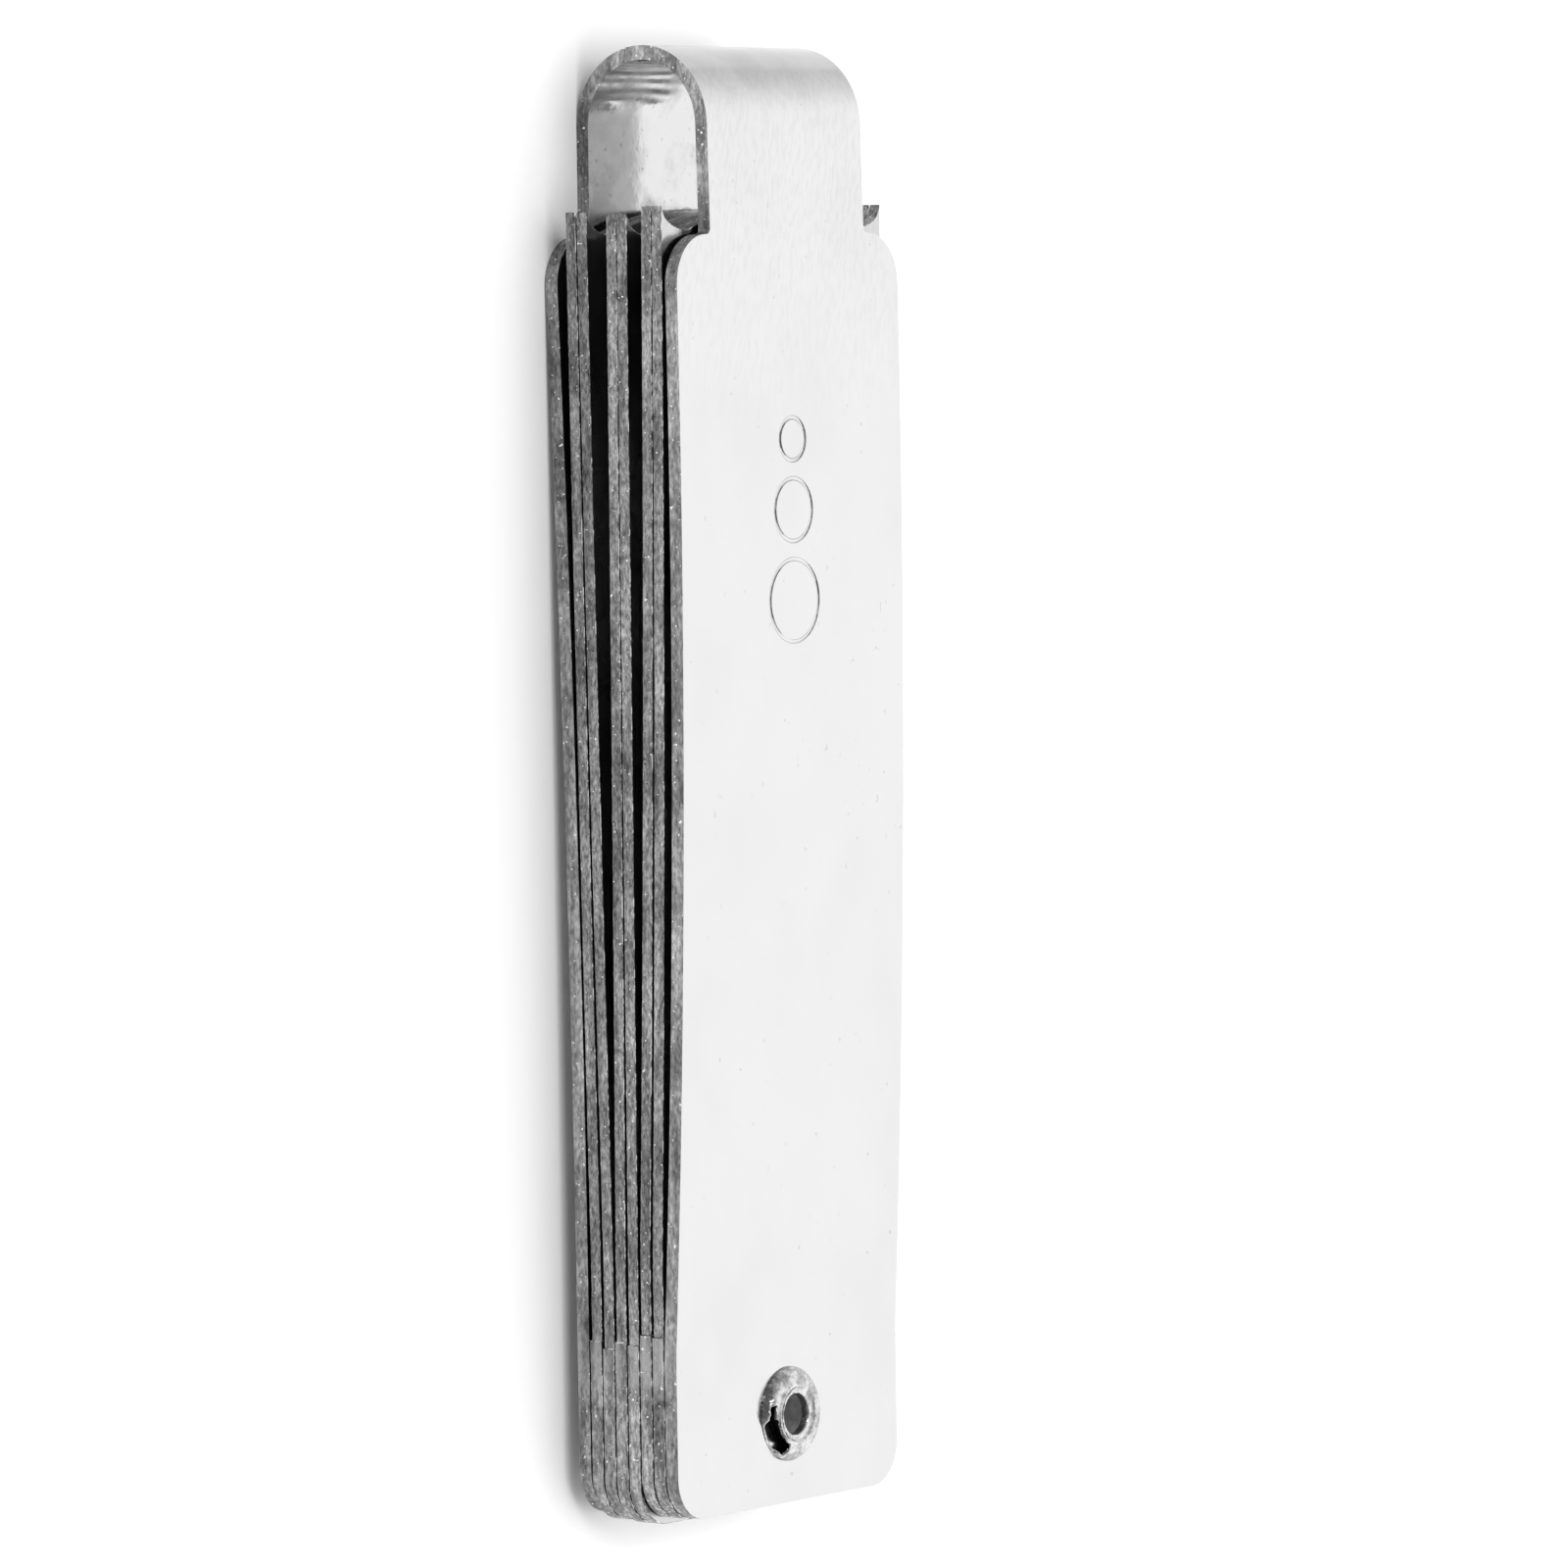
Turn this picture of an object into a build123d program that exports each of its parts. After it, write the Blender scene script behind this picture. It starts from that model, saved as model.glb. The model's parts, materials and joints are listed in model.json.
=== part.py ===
from build123d import *
import math
import os

# Folding hole gauge, in millimetres, lying on its back cover.
# Origin: on the eyelet's axis, at the outer face of the back cover.
# +X across the leaves, +Y towards the hanging loop, +Z out of the front cover.

# Folded case: back cover, hanging loop and front cover are one strip of sheet.
SHEET = 0.72
CASE_WIDTH = 19.0
NECK_WIDTH = 13.2
PIVOT_TO_END = 4.5
PIVOT_TO_SHOULDER = 59.5
END_CORNER = 2.2
SHOULDER_ROUND = 2.5
NECK_FILLET = 0.3
COVER_FLAT_END = 3.0     # the covers are flat from their end to here
BACK_LEAN = 2.0          # degrees that the back cover has turned outwards by the shoulder
FRONT_RISE = 3.0         # degrees that the front cover turns outwards past its flat end
FRONT_RETURN = 1.0       # degrees that it leans back inwards by the shoulder, so it bows
CREASE_RADIUS = 30.0
LEG_TOP = 64.97

# Leaves, numbered from the back cover (smallest holes) to the front cover.
LEAF_COUNT = 6
BLADE = 0.6
BLADE_WIDTH = 18.9
HUB = 0.7
HUB_WIDTH = 18.96
LEAF_GAP = 0.068         # between neighbouring hubs, and between hub and cover
LEAF_CREASE = 8.0        # where a blade's lean starts
LEAF_CREASE_RADIUS = 60.0
EAR_RADIUS = 61.0        # from the eyelet's axis to the ears' tips, along the leaf
EAR_REACH = 2.25
EAR_DEPTH = 1.2
TIP_CROWN = 0.1          # how far the tip's arc stands beyond the ears

# For each leaf: how far its outline sits back on the eyelet, where its hub ends,
# its lean at the crease in degrees, and how much of that it loses by the tip.
LEAF_SHIFTS = [-0.3, -0.3, -0.4, -0.4, -0.05, -0.05]
HUB_ENDS = [4.35, 4.0, 4.35, 4.25, 4.8, 4.7]
LEAF_RISES = [-0.77, -0.89, 0.68, 0.41, 1.8, 1.67]
LEAF_RETURNS = [-0.43, -0.5, 0.37, 0.07, 1.33, 1.35]

# Holes of each leaf: diameters from the tip inwards, place of the first, pitches.
LEAF_HOLES = [
    ([2.0, 2.1, 2.4, 2.8, 3.0], 55.1, [5.8, 6.8, 6.4, 7.1]),
    ([3.8, 4.0, 4.3, 4.8, 5.2], 54.2, [7.0, 7.7, 7.5, 7.6]),
    ([5.5, 5.8, 6.0, 6.2], 53.5, [9.6, 9.9, 9.9]),
    ([6.6, 6.7, 6.9, 7.1], 52.0, [10.9, 11.4, 11.4]),
    ([7.3, 7.5, 7.7, 7.9], 52.3, [11.5, 11.3, 11.4]),
    ([8.2, 8.8, 9.4, 10.0], 52.6, [11.6, 11.8, 12.5]),
]

# Eyelet: a tube with a rolled flange behind and a clinched curl in front.
TUBE_RADIUS = 1.5
BORE_RADIUS = 1.1
CASE_HOLE_RADIUS = 1.5
LEAF_PIVOT_CLEARANCE = 0.06
FLANGE_RADIUS = 2.4
FLANGE_DEPTH = 0.6
CURL_RADIUS = 2.45
CURL_HEIGHT = 0.72
CURL_CREST_RADIUS = 1.5
TUBE_WALL = 0.32         # where the flare meets the flange
SPLIT_ANGLE = 212.0      # where the curl is torn, counted from +X
SPLIT_WIDTH = 40.0

# Shallow row of rings pressed into the front cover, smallest nearest the loop.
RING_SIZES = [2.4, 3.4, 4.4]
RING_SPACING = 0.65
RING_ROW_TOP = 50.4
RING_LINE = 0.25
RING_DEPTH = 0.08

# Worked out from the above.
STACK = 2 * SHEET + LEAF_COUNT * HUB + (LEAF_COUNT + 1) * LEAF_GAP
SPLAY_RUN = PIVOT_TO_SHOULDER - COVER_FLAT_END


def bent_sheet(path, thickness, width):
    """A sheet of one thickness whose section in the YZ plane follows a path."""
    section = Plane.YZ * trace(path, thickness)
    return extrude(section, amount=width / 2, both=True)


def bend(line, radius, turn):
    """An arc that carries on from a line and turns by an angle in degrees."""
    return JernArc(line @ 1, line % 1, radius, turn)


def case_path():
    """Centreline of the folded strip, from the back cover's end round to the front's."""
    back = SHEET / 2
    front = STACK - SHEET / 2
    back_flat = Line((-PIVOT_TO_END, back), (COVER_FLAT_END, back))
    back_sweep = bend(back_flat, SPLAY_RUN / math.radians(BACK_LEAN), -BACK_LEAN)
    back_crease = bend(back_sweep, CREASE_RADIUS, BACK_LEAN)
    front_flat = Line((-PIVOT_TO_END, front), (COVER_FLAT_END, front))
    front_crease = bend(front_flat, CREASE_RADIUS, FRONT_RISE)
    front_turn = FRONT_RISE + FRONT_RETURN
    front_sweep = bend(front_crease, SPLAY_RUN / math.radians(front_turn), -front_turn)
    leg_run = LEG_TOP - (front_sweep @ 1).X
    front_leg = Line(front_sweep @ 1, (front_sweep @ 1) + (front_sweep % 1) * leg_run)
    lean = math.radians(FRONT_RETURN)
    gap = (front_leg @ 1).Y - (back_crease @ 1).Y
    loop = bend(front_leg, gap / (1 + math.cos(lean)), FRONT_RETURN - 180)
    back_leg = Line(back_crease @ 1, loop @ 1)
    front_run = front_flat + front_crease + front_sweep + front_leg
    return front_run + loop + back_leg + back_crease + back_sweep + back_flat


def case_outline():
    """Outline of the strip seen from the front: a cover with round shoulders, and the neck."""
    half = CASE_WIDTH / 2
    neck = NECK_WIDTH / 2
    end = Line((0, -PIVOT_TO_END), (half - END_CORNER, -PIVOT_TO_END))
    corner = JernArc(end @ 1, (1, 0), END_CORNER, 90)
    side = Line(corner @ 1, (half, PIVOT_TO_SHOULDER - SHOULDER_ROUND))
    shoulder = JernArc(side @ 1, (0, 1), SHOULDER_ROUND, 90)
    ledge = Line(shoulder @ 1, (neck + NECK_FILLET, PIVOT_TO_SHOULDER))
    inner = JernArc(ledge @ 1, (-1, 0), NECK_FILLET, -90)
    top = PIVOT_TO_SHOULDER + NECK_WIDTH
    neck_side = Line(inner @ 1, (neck, top))
    cap = Line(neck_side @ 1, (0, top))
    middle = Line((0, top), end @ 0)
    right = make_face(end + corner + side + shoulder + ledge + inner + neck_side + cap + middle)
    return right + mirror(right, Plane.YZ)


def case_strip():
    strip = bent_sheet(case_path(), SHEET, CASE_WIDTH + 1)
    strip &= extrude(case_outline(), amount=3 * STACK, both=True)
    strip -= Cylinder(CASE_HOLE_RADIUS, 6 * STACK)
    return strip - cover_rings()


def cover_rings():
    """Three shallow pressed rings on the front cover, following its slight lean."""
    rings = Part()
    top = RING_ROW_TOP
    for size in RING_SIZES:
        centre = top - size / 2
        ring = Circle(size / 2) - Circle(size / 2 - RING_LINE)
        lean = math.degrees(cover_slope(centre))
        place = Pos(0, centre, cover_height(centre) - RING_DEPTH) * Rot(lean, 0, 0)
        rings += place * extrude(ring, amount=2 * RING_DEPTH)
        top -= size + RING_SPACING
    return rings


def cover_slope(y):
    """Slope of the front cover at y, in radians: steepest just past its flat end."""
    turned = (FRONT_RISE + FRONT_RETURN) * (y - COVER_FLAT_END) / SPLAY_RUN
    return math.radians(FRONT_RISE - turned)


def cover_height(y):
    """Height of the front cover's outer face at y, from its mean slope up to there."""
    mean_slope = (math.radians(FRONT_RISE) + cover_slope(y)) / 2
    return STACK + mean_slope * (y - COVER_FLAT_END)


def leaf_path(rise, turn_back):
    """Centreline of a blade: flat by the eyelet, a slight crease, then a long sweep."""
    flat = Line((-PIVOT_TO_END - 1, 0), (LEAF_CREASE, 0))
    crease = bend(flat, LEAF_CREASE_RADIUS, rise)
    run = EAR_RADIUS + 2 - LEAF_CREASE
    sweep = bend(crease, run / math.radians(abs(turn_back)), -turn_back)
    return flat + crease + sweep


def leaf_outline():
    """Outline of a blade: square hub end with round corners, eared tip."""
    half = BLADE_WIDTH / 2
    arc_x = half - EAR_REACH
    ear_tip = (half, EAR_RADIUS)
    notch = (arc_x, EAR_RADIUS - EAR_DEPTH)
    hollow = (half - 0.4 * EAR_REACH, EAR_RADIUS - 0.82 * EAR_DEPTH)
    side = Line((half, -PIVOT_TO_END), ear_tip)
    ear = ThreePointArc(ear_tip, hollow, notch)
    crown = ThreePointArc(notch, (0, EAR_RADIUS + TIP_CROWN), (-arc_x, notch[1]))
    other_ear = mirror(ear, Plane.YZ)
    other_side = mirror(side, Plane.YZ)
    end = Line((-half, -PIVOT_TO_END), (half, -PIVOT_TO_END))
    outline = make_face(side + ear + crown + other_ear + other_side + end)
    return fillet(outline.vertices().group_by(Axis.Y)[0], END_CORNER)


def leaf_hub(hub_end, shift):
    """The thicker, slightly wider end of a leaf, round the eyelet."""
    low = shift - PIVOT_TO_END
    plate = Pos(0, (hub_end + low) / 2) * Rectangle(HUB_WIDTH, hub_end - low)
    plate = fillet(plate.vertices().group_by(Axis.Y)[0], END_CORNER)
    return extrude(plate, amount=HUB / 2, both=True)


def leaf(index):
    diameters, first, pitches = LEAF_HOLES[index]
    shift = LEAF_SHIFTS[index]
    path = leaf_path(LEAF_RISES[index], LEAF_RETURNS[index])
    blade = bent_sheet(path, BLADE, BLADE_WIDTH + 1)
    blade &= Pos(0, shift, 0) * extrude(leaf_outline(), amount=3, both=True)
    body = blade + leaf_hub(HUB_ENDS[index], shift)
    body -= Cylinder(TUBE_RADIUS + LEAF_PIVOT_CLEARANCE, 4)
    y = first
    for diameter, pitch in zip(diameters, pitches + [0]):
        body -= Pos(0, y, 0) * Cylinder(diameter / 2, 4)
        y -= pitch
    middle = SHEET + LEAF_GAP + HUB / 2 + index * (HUB + LEAF_GAP)
    return Pos(0, 0, middle) * body


def eyelet():
    """Half section of the tube, flange and curl, turned round the eyelet's axis."""
    top = STACK
    crest = (CURL_CREST_RADIUS, top + CURL_HEIGHT)
    curl_foot = (CURL_RADIUS - 0.3, top)
    throat_foot = (BORE_RADIUS, top + 0.35)
    flare_top = (BORE_RADIUS, -0.25)
    flange_face = (BORE_RADIUS + TUBE_WALL, -FLANGE_DEPTH)
    flange_edge = (FLANGE_RADIUS - 0.12, -0.3)
    seat = Polyline(flange_edge, (FLANGE_RADIUS, 0), (TUBE_RADIUS, 0), (TUBE_RADIUS, top))
    under = ThreePointArc((TUBE_RADIUS, top), (1.82, top + 0.36), curl_foot)
    rim = Line(curl_foot, (CURL_RADIUS, top))
    over = ThreePointArc((CURL_RADIUS, top), (2.15, top + 0.5), crest)
    throat = ThreePointArc(crest, (1.2, top + 0.59), throat_foot)
    bore = Line(throat_foot, flare_top)
    flare = ThreePointArc(flare_top, (1.2, -0.5), flange_face)
    back = ThreePointArc(flange_face, (1.95, -0.52), flange_edge)
    half = make_face(seat + under + rim + over + throat + bore + flare + back)
    ring = revolve(Plane.XZ * half, Axis.Z)
    return ring - curl_split()


def curl_split():
    """The gap where the curl tore open as it was rolled over."""
    reach = 2 * CURL_RADIUS
    half = math.radians(SPLIT_WIDTH / 2)
    corner = (reach * math.cos(half), reach * math.sin(half))
    wedge = make_face(Polyline((0, 0), corner, (corner[0], -corner[1]), (0, 0)))
    cut = extrude(wedge, amount=2) - Cylinder(TUBE_RADIUS, 8)
    return Pos(0, 0, STACK) * Rot(0, 0, SPLIT_ANGLE) * cut


def main():
    os.makedirs("parts", exist_ok=True)
    export_step(case_strip(), "parts/folded_case.step")
    export_step(eyelet(), "parts/pivot_eyelet.step")
    for index in range(LEAF_COUNT):
        export_step(leaf(index), f"parts/gauge_leaf_{index + 1}.step")


main()
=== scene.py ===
"""Folding hole gauge: a folded sheet case, six gauge leaves, and the eyelet they turn on."""

import json
import math

import bmesh
import bpy
from mathutils import Matrix, Vector


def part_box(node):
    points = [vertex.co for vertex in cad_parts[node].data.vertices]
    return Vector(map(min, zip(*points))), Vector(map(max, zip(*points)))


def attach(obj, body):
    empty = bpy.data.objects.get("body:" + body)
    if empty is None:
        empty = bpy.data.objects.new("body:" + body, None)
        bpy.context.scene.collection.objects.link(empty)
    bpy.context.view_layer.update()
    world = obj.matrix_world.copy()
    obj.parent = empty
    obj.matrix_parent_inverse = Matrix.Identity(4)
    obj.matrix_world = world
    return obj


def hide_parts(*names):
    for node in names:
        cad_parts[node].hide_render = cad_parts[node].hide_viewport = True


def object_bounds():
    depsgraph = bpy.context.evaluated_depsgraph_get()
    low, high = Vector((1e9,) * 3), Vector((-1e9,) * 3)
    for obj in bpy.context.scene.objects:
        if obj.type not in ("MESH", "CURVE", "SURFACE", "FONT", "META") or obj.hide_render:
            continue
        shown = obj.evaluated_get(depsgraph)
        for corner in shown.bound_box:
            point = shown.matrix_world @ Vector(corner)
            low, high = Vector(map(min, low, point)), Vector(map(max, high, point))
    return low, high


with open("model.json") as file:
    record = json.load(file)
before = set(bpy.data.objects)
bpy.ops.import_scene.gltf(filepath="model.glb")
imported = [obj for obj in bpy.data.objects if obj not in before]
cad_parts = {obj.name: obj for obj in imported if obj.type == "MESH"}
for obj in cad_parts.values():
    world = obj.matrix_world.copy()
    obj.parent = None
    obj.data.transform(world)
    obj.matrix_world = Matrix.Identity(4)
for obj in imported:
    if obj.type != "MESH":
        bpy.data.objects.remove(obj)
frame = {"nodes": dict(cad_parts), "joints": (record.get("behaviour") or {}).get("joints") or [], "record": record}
cad_low, cad_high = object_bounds()

MM = 0.001
TOUCHING = 1e-6

# Folded case.
SHEET = 0.72 * MM
CASE_WIDTH = 19.0 * MM
NECK_WIDTH = 13.2 * MM
PIVOT_TO_END = 4.5 * MM
PIVOT_TO_SHOULDER = 59.5 * MM
END_CORNER = 2.2 * MM
SHOULDER_ROUND = 2.5 * MM
NECK_FILLET = 0.3 * MM
NECK_REACH = 13.2 * MM
COVER_FLAT_END = 3.0 * MM
SPLAY_RUN = PIVOT_TO_SHOULDER - COVER_FLAT_END
BACK_LEAN = 2.0
FRONT_RISE = 3.0
FRONT_RETURN = 1.0
CREASE_RADIUS = 30 * MM
LEG_TOP = 64.97 * MM
EYELET_HOLE = 1.5 * MM
OUTLINE_DEPTH = 12 * MM
DRILL_LENGTH = 40 * MM

# Rings pressed into the front cover. RING_LIFT is how far over it the tool's rim is centred.
RING_SIZES = [2.4 * MM, 3.4 * MM, 4.4 * MM]
RING_SPACING = 0.65 * MM
RING_ROW_TOP = 50.4 * MM
RING_LINE = 0.25 * MM
RING_LIFT = 0.32 * RING_LINE

# Leaves.
BLADE = 0.6 * MM
BLADE_WIDTH = 18.8 * MM
HUB = 0.7 * MM
HUB_WIDTH = 18.98 * MM
HUB_END = 4.5 * MM
LEAF_CREASE = 8.0 * MM
LEAF_CREASE_RADIUS = 60.0 * MM
EAR_RADIUS = 61.0 * MM
EAR_REACH = 2.25 * MM
EAR_DEPTH = 1.2 * MM
TIP_CROWN = 0.1 * MM
LEAF_BORE = 1.56 * MM
PAST_TIP = 2 * MM

# For each leaf: how far its outline sits back, where its hub ends, its lean at the crease
# in degrees, and how much of that it loses by the tip.
LEAF_FORMS = {
    "gauge_leaf_1": (-0.3 * MM, 4.35 * MM, -0.77, -0.43),
    "gauge_leaf_2": (-0.3 * MM, 4.0 * MM, -0.89, -0.5),
    "gauge_leaf_3": (-0.4 * MM, 4.35 * MM, 0.68, 0.37),
    "gauge_leaf_4": (-0.4 * MM, 4.25 * MM, 0.41, 0.07),
    "gauge_leaf_5": (-0.05 * MM, 4.8 * MM, 1.8, 1.33),
    "gauge_leaf_6": (-0.05 * MM, 4.7 * MM, 1.67, 1.35),
}

# Eyelet, as radius and height over the back cover (its foot) or the front one (its curl).
FLANGE_RINGS = [(2.38, -0.02), (2.3, -0.24), (2.12, -0.44), (1.82, -0.56), (1.5, -0.59)]
FLANGE_RINGS += [(1.26, -0.53), (1.13, -0.38), (1.09, -0.2), (1.06, 2.0), (1.03, 4.2)]
CURL_RINGS = [(1.0, -0.3), (1.01, 0.1), (1.02, 0.4), (1.07, 0.5), (1.2, 0.5), (1.32, 0.53)]
CURL_RINGS += [(1.42, 0.62), (1.5, 0.65), (1.58, 0.62), (1.67, 0.56), (1.82, 0.56), (1.98, 0.53)]
CURL_RINGS += [(2.13, 0.44), (2.26, 0.31), (2.37, 0.17), (2.43, 0.02)]
CURL_HEIGHT = 0.72 * MM
EYELET_SHEET = 0.2 * MM
EYELET_SIDES = 72

# The tear in the curl, in degrees round from +X: a slit at first, then wider.
TEAR_FROM, TEAR_WIDENS, TEAR_TO = 160, 186, 244
SLIT_INSIDE, SLIT_OUTSIDE = 1.76 * MM, 2.08 * MM
TEAR_INSIDE, TEAR_OUTSIDE = 1.6 * MM, 2.24 * MM
TEAR_ROUGHNESS = 0.09 * MM
SHARD_TO, SHARD_INSIDE = 236, 2.1 * MM
SHARD_SHRINK = (0.985, 0.985, 0.3)
FLAP_INSIDE, FLAP_MOVE = 1.7 * MM, (-0.1 * MM, 0.06 * MM, 0.1 * MM)
SLIT_END_INSIDE, SLIT_END_MOVE = 1.85 * MM, (-0.03 * MM, -0.1 * MM, 0.04 * MM)
LIP_INSIDE, LIP_MOVE = 1.75 * MM, (-0.03 * MM, -0.03 * MM, 0.02 * MM)

# Edges as the press leaves them: a little round, then a fine burr with painted highlights.
SHEARED_EDGE = 0.07 * MM
SHARP_ANGLE = 40
BURR_SLOT = 2
LOOP_INSIDE_SLOT = 3
BORE_SLOT = 2

# How finely curves are drawn.
HOLE_SIDES = 72
RING_LINE_SIDES = 16
FLAT_FACETS = 3
LEG_FACETS = 2
CREASE_FACETS = 3
FRONT_FACETS = 26
BACK_FACETS = 28
LOOP_FACETS = 56
CORNER_FACETS = 10
EDGE_FACETS = 2
TIP_CUTS = 65
LEAF_SWEEP_FACETS = 22

LEAVES = sorted(name for name in frame["nodes"] if name.startswith("gauge_leaf_"))
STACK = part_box("pivot_eyelet")[1].z - CURL_HEIGHT


# ---------------------------------------------------------------- modelling by hand

def deselect():
    if bpy.context.object and bpy.context.object.mode != "OBJECT":
        bpy.ops.object.mode_set(mode="OBJECT")
    bpy.ops.object.select_all(action="DESELECT")


def take(piece):
    """Makes this piece the only one selected, and the active one."""
    deselect()
    piece.select_set(True)
    bpy.context.view_layer.objects.active = piece


def freeze(piece):
    """Puts the piece's place, turn and size into its mesh."""
    take(piece)
    bpy.ops.object.transform_apply(location=True, rotation=True, scale=True)


def plate(name, width, length, centre):
    """A flat plate to start from, lying in the XY plane."""
    deselect()
    bpy.ops.mesh.primitive_plane_add(size=1, location=centre)
    piece = bpy.context.object
    piece.name = name
    piece.scale = (width, length, 1)
    freeze(piece)
    return piece


def edit(piece, kind):
    take(piece)
    bpy.ops.object.mode_set(mode="EDIT")
    bpy.ops.mesh.select_mode(type=kind)


def pick(test, items="verts"):
    """In edit mode, selects only the vertices, edges or faces that pass the test."""
    bpy.ops.mesh.select_all(action="DESELECT")
    mesh = bmesh.from_edit_mesh(bpy.context.object.data)
    for item in getattr(mesh, items):
        if test(item):
            item.select_set(True)
    bmesh.update_edit_mesh(bpy.context.object.data)


def done():
    bpy.ops.object.mode_set(mode="OBJECT")


def push(vector):
    bpy.ops.mesh.extrude_region_move(TRANSFORM_OT_translate={"value": vector})


def finish_with(piece, kind, **settings):
    """Adds a modifier with these settings and applies it."""
    take(piece)
    modifier = piece.modifiers.new(kind.lower(), kind)
    for key, value in settings.items():
        setattr(modifier, key, value)
    bpy.ops.object.modifier_apply(modifier=modifier.name)


def combine(piece, other, operation):
    finish_with(piece, "BOOLEAN", object=other, operation=operation, solver="EXACT")
    bpy.data.objects.remove(other)


def drill(piece, y, radius):
    """A round hole straight through, along Z, on the middle line."""
    deselect()
    bpy.ops.mesh.primitive_cylinder_add(
        vertices=HOLE_SIDES, radius=radius, depth=DRILL_LENGTH, location=(0, y, 0)
    )
    combine(piece, bpy.context.object, "DIFFERENCE")


def soften(piece):
    """Rounds the sheared edges, in the burr's steel with its painted highlights, and smooths the piece."""
    finish_with(
        piece,
        "BEVEL",
        width=SHEARED_EDGE,
        segments=EDGE_FACETS,
        limit_method="ANGLE",
        angle_limit=math.radians(SHARP_ANGLE),
        miter_outer="MITER_ARC",
        material=BURR_SLOT,
    )
    take(piece)
    bpy.ops.object.shade_smooth()
    finish_with(piece, "WEIGHTED_NORMAL", weight=90, keep_sharp=False)


# ---------------------------------------------------------------- folded case

class Fold:
    """Draws a strip of sheet out along its path, which lies in the YZ plane."""

    def __init__(self, y, z):
        self.y, self.z, self.heading = y, z, 0.0

    def ahead(self, length, steps):
        for _ in range(steps):
            step = length / steps
            dy, dz = step * math.cos(self.heading), step * math.sin(self.heading)
            push((0, dy, dz))
            self.y += dy
            self.z += dz

    def turn(self, radius, degrees, steps):
        """Bends upwards by a positive angle, downwards by a negative one."""
        side = math.copysign(radius, degrees)
        centre_y = self.y - side * math.sin(self.heading)
        centre_z = self.z + side * math.cos(self.heading)
        bpy.ops.mesh.spin(
            steps=steps,
            angle=-math.radians(degrees),
            center=(0, centre_y, centre_z),
            axis=(1, 0, 0),
        )
        self.heading += math.radians(degrees)
        self.y = centre_y + side * math.sin(self.heading)
        self.z = centre_z - side * math.cos(self.heading)


def sheet_strip():
    """The strip of the case, at full width, from the front cover's end to the back's."""
    front = STACK - SHEET / 2
    back = SHEET / 2
    strip = plate("folded_case_strip", CASE_WIDTH + MM, SHEET, (0, 0, 0))
    strip.rotation_euler.x = math.pi / 2
    strip.location = (0, -PIVOT_TO_END, front)
    freeze(strip)
    edit(strip, "FACE")
    bpy.ops.mesh.select_all(action="SELECT")
    fold = Fold(-PIVOT_TO_END, front)
    fold.ahead(PIVOT_TO_END + COVER_FLAT_END, FLAT_FACETS)
    fold.turn(CREASE_RADIUS, FRONT_RISE, CREASE_FACETS)
    front_turn = FRONT_RISE + FRONT_RETURN
    fold.turn(SPLAY_RUN / math.radians(front_turn), -front_turn, FRONT_FACETS)
    fold.ahead((LEG_TOP - fold.y) / math.cos(fold.heading), LEG_FACETS)
    back_drop = SPLAY_RUN * math.tan(math.radians(BACK_LEAN / 2))
    back_drop += CREASE_RADIUS * (1 - math.cos(math.radians(BACK_LEAN)))
    gap = fold.z - (back - back_drop)
    radius = gap / (1 + math.cos(fold.heading))
    fold.turn(radius, FRONT_RETURN - 180, LOOP_FACETS)
    sweep_radius = SPLAY_RUN / math.radians(BACK_LEAN)
    both_radii = sweep_radius + CREASE_RADIUS
    lean_end = COVER_FLAT_END + both_radii * math.sin(math.radians(BACK_LEAN))
    fold.ahead(fold.y - lean_end, LEG_FACETS)
    fold.turn(CREASE_RADIUS, -BACK_LEAN, CREASE_FACETS)
    fold.turn(sweep_radius, BACK_LEAN, BACK_FACETS)
    fold.ahead(fold.y + PIVOT_TO_END, FLAT_FACETS)
    bpy.ops.mesh.select_all(action="SELECT")
    bpy.ops.mesh.normals_make_consistent(inside=False)
    done()
    return strip


def case_outline():
    """A tall block with the strip's outline: the covers with round corners, and the neck."""
    length = PIVOT_TO_END + PIVOT_TO_SHOULDER
    middle = (PIVOT_TO_SHOULDER - PIVOT_TO_END) / 2
    block = plate("outline", CASE_WIDTH, length, (0, middle, -OUTLINE_DEPTH))
    edit(block, "EDGE")
    for side in (-NECK_WIDTH / 2, NECK_WIDTH / 2):
        bpy.ops.mesh.select_all(action="SELECT")
        bpy.ops.mesh.bisect(plane_co=(side, 0, 0), plane_no=(1, 0, 0))
    pick(is_neck_foot, "edges")
    push((0, NECK_REACH, 0))
    bpy.ops.mesh.select_mode(type="FACE")
    bpy.ops.mesh.select_all(action="SELECT")
    bpy.ops.mesh.dissolve_faces()
    bpy.ops.mesh.select_mode(type="VERT")
    inside_cover = CASE_WIDTH / 2 - MM
    round_corners(lambda v: v.co.y < middle and abs(v.co.x) > inside_cover, END_CORNER)
    round_corners(lambda v: v.co.y > middle and abs(v.co.x) > inside_cover, SHOULDER_ROUND)
    round_corners(is_neck_corner, NECK_FILLET)
    bpy.ops.mesh.select_all(action="SELECT")
    push((0, 0, 2 * OUTLINE_DEPTH + STACK))
    bpy.ops.mesh.select_all(action="SELECT")
    bpy.ops.mesh.normals_make_consistent(inside=False)
    done()
    return block


def round_corners(test, radius):
    """Rounds the corners of a flat outline that pass the test."""
    pick(test)
    bpy.ops.mesh.bevel(offset=radius, segments=CORNER_FACETS, affect="VERTICES")


def is_neck_foot(edge):
    """The part of the covers' top edge that the neck grows from."""
    return all(is_neck_corner(v) for v in edge.verts)


def is_neck_corner(vert):
    """A corner where the neck leaves the shoulders."""
    on_side = abs(abs(vert.co.x) - NECK_WIDTH / 2) < TOUCHING
    return on_side and abs(vert.co.y - PIVOT_TO_SHOULDER) < TOUCHING


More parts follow.
